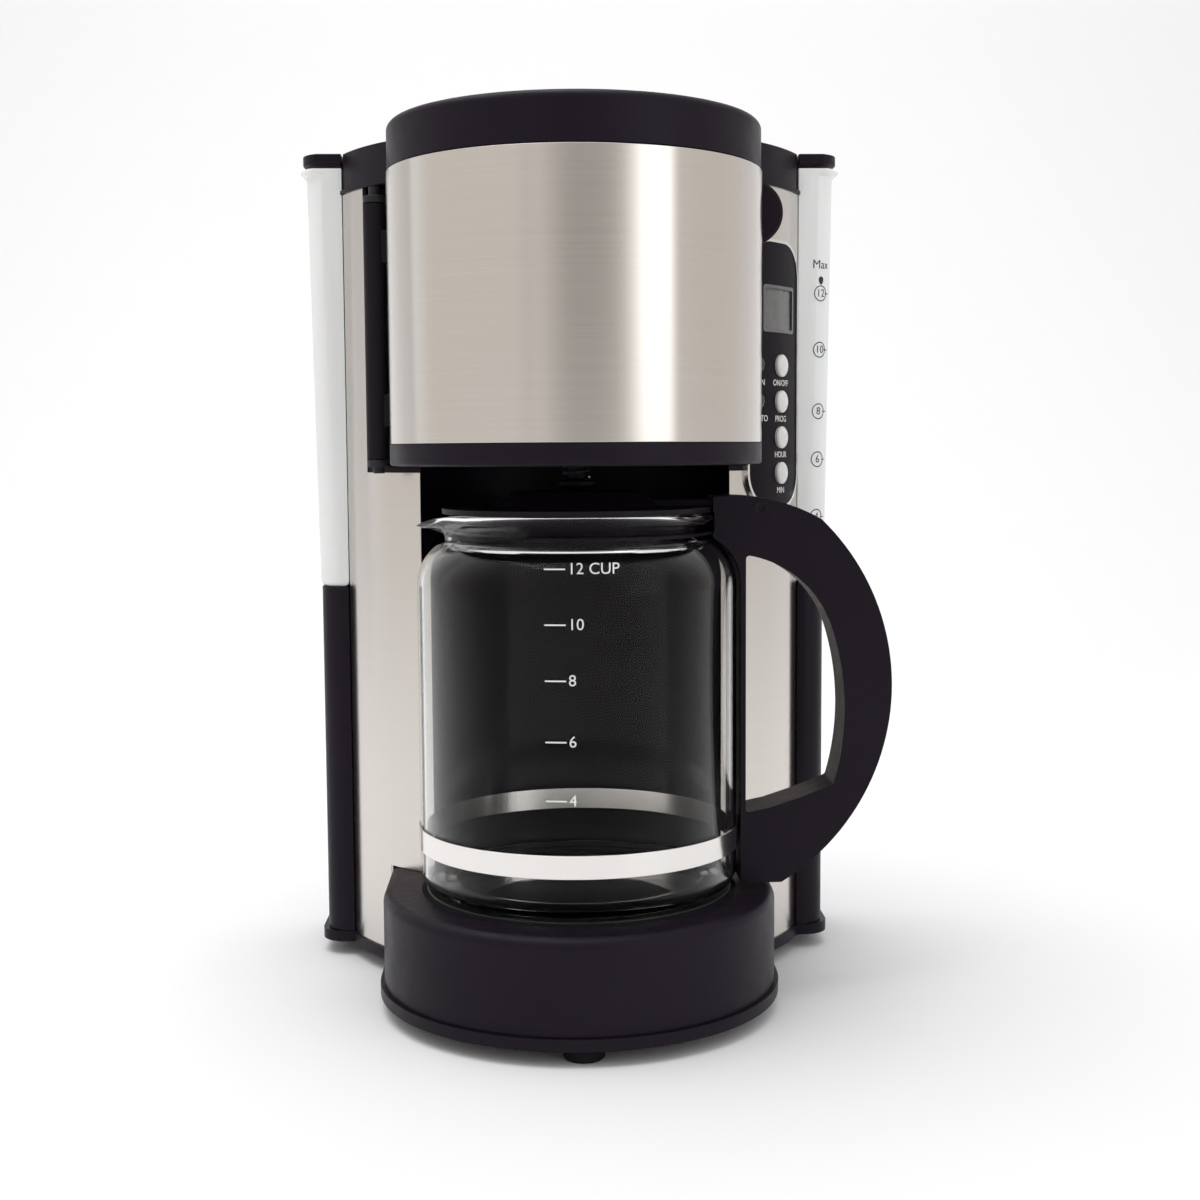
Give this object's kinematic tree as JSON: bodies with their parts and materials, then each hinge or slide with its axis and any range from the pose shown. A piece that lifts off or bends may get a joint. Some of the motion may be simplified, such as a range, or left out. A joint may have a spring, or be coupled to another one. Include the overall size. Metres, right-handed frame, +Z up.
{
  "type": "drip coffee maker",
  "caption": "Drip coffee maker with a swing-out round brew head, glass carafe with D handle, round warming base, rear water tank and a timer panel.",
  "frame": {"origin": "middle of the whole model's footprint, on the surface that the feet stand on", "axes": "+Z up; the front faces -Y; the carafe handle points to +X; the water tank is at +Y"},
  "size_m": [0.26, 0.2342, 0.376],
  "materials": {
    "black_plastic": "satin moulded, fine texture",
    "inner_plastic": "matt",
    "steel_skin": "fine brushed stainless",
    "steel_part": "plain drawn steel",
    "black_steel": "black oxide",
    "band_steel": "bright satin band",
    "bright_trim": "bright plated",
    "silver_button": "silver lacquered plastic",
    "panel_black": "satin",
    "window_clear": "clear moulded lens",
    "lcd_grey": "liquid crystal cell",
    "tank_white": "translucent milky plastic",
    "carafe_glass": "clear heat-proof glass",
    "rubber": "matt",
    "silicone": "milky silicone",
    "plate_coat": "non-stick coat",
    "cast_aluminium": "as extruded",
    "board_green": "lacquered circuit board",
    "white_plastic": "moulded"
  },
  "bodies": {
    "body": {"rubber_feet": "rubber", "base_plate": "black_plastic", "base_screws": "steel_part", "base_drum": "black_plastic", "hot_plate": "plate_coat", "plate_seal": "rubber", "heat_spreader": "cast_aluminium", "heating_element": "cast_aluminium", "element_clamp": "steel_part", "clamp_bolt": "steel_part", "thermostat": "cast_aluminium", "thermal_fuse": "white_plastic", "tower_shell": "black_plastic", "left_panel": "steel_skin", "right_panel": "steel_skin", "back_panel": "inner_plastic", "rear_housing": "black_plastic", "cord_gland": "rubber", "cord_cleat": "black_plastic", "top_cover": "black_plastic", "cap_liner": "inner_plastic", "shower_head": "white_plastic", "riser_tube": "silicone", "inlet_tube": "silicone", "check_valve": "white_plastic", "water_tank": "tank_white", "tank_outlet_seal": "silicone", "tank_lid_pin": "steel_part", "control_panel": "panel_black", "panel_trim_ring": "bright_trim", "display_frame": "bright_trim", "display_window": "window_clear", "lcd_module": "lcd_grey", "indicator_lamps": "window_clear", "control_board": "board_green", "power_board": "board_green", "hinge_brackets": "black_steel", "hinge_pin": "black_steel"},
    "brew_head": {"basket_housing": "inner_plastic", "basket_wrap": "steel_skin", "basket_ring": "black_plastic", "basket_grip": "black_plastic", "filter_basket": "inner_plastic", "drip_spring": "steel_part"},
    "drip_stop": {"drip_valve": "inner_plastic", "valve_seal": "silicone"},
    "carafe": {"carafe_glass": "carafe_glass", "carafe_band": "band_steel", "band_screw": "steel_part", "carafe_handle": "black_plastic", "carafe_collar": "black_plastic", "carafe_lid": "black_plastic", "lid_pin": "steel_part"},
    "lid": {"tank_lid": "black_plastic"},
    "on_off": {"button_on_off": "silver_button"},
    "prog": {"button_prog": "silver_button"},
    "hour": {"button_hour": "silver_button"},
    "min": {"button_min": "silver_button"}
  },
  "joints": [
    {"name": "brew_head_swing", "type": "hinge", "parent": "body", "child": "brew_head", "pos_m": [-0.0909, -0.0044, 0.29], "axis": [0, 0, -1], "range_deg": [0, 95]},
    {"name": "drip_stop_lift", "type": "slide", "parent": "brew_head", "child": "drip_stop", "axis": [0, 0, 1], "range_m": [0, 0.004], "stiffness_N_per_m": 200, "springref_m": -0.002, "deforming": ["drip_spring"]},
    {"name": "carafe_slide", "type": "slide", "parent": "body", "child": "carafe", "axis": [0, -1, 0], "range_m": [0, 0.2]},
    {"name": "tank_lid_hinge", "type": "hinge", "parent": "body", "child": "lid", "pos_m": [-0.0044, 0.1139, 0.3728], "axis": [-1, 0, 0], "range_deg": [0, 100]},
    {"name": "on_off_press", "type": "slide", "parent": "body", "child": "on_off", "axis": [-0.809, 0.5878, 0], "range_m": [0, 0.001], "stiffness_N_per_m": 400, "springref_m": -0.0005},
    {"name": "prog_press", "type": "slide", "parent": "body", "child": "prog", "axis": [-0.809, 0.5878, 0], "range_m": [0, 0.001], "stiffness_N_per_m": 400, "springref_m": -0.0005},
    {"name": "hour_press", "type": "slide", "parent": "body", "child": "hour", "axis": [-0.809, 0.5878, 0], "range_m": [0, 0.001], "stiffness_N_per_m": 400, "springref_m": -0.0005},
    {"name": "min_press", "type": "slide", "parent": "body", "child": "min", "axis": [-0.809, 0.5878, 0], "range_m": [0, 0.001], "stiffness_N_per_m": 400, "springref_m": -0.0005}
  ]
}
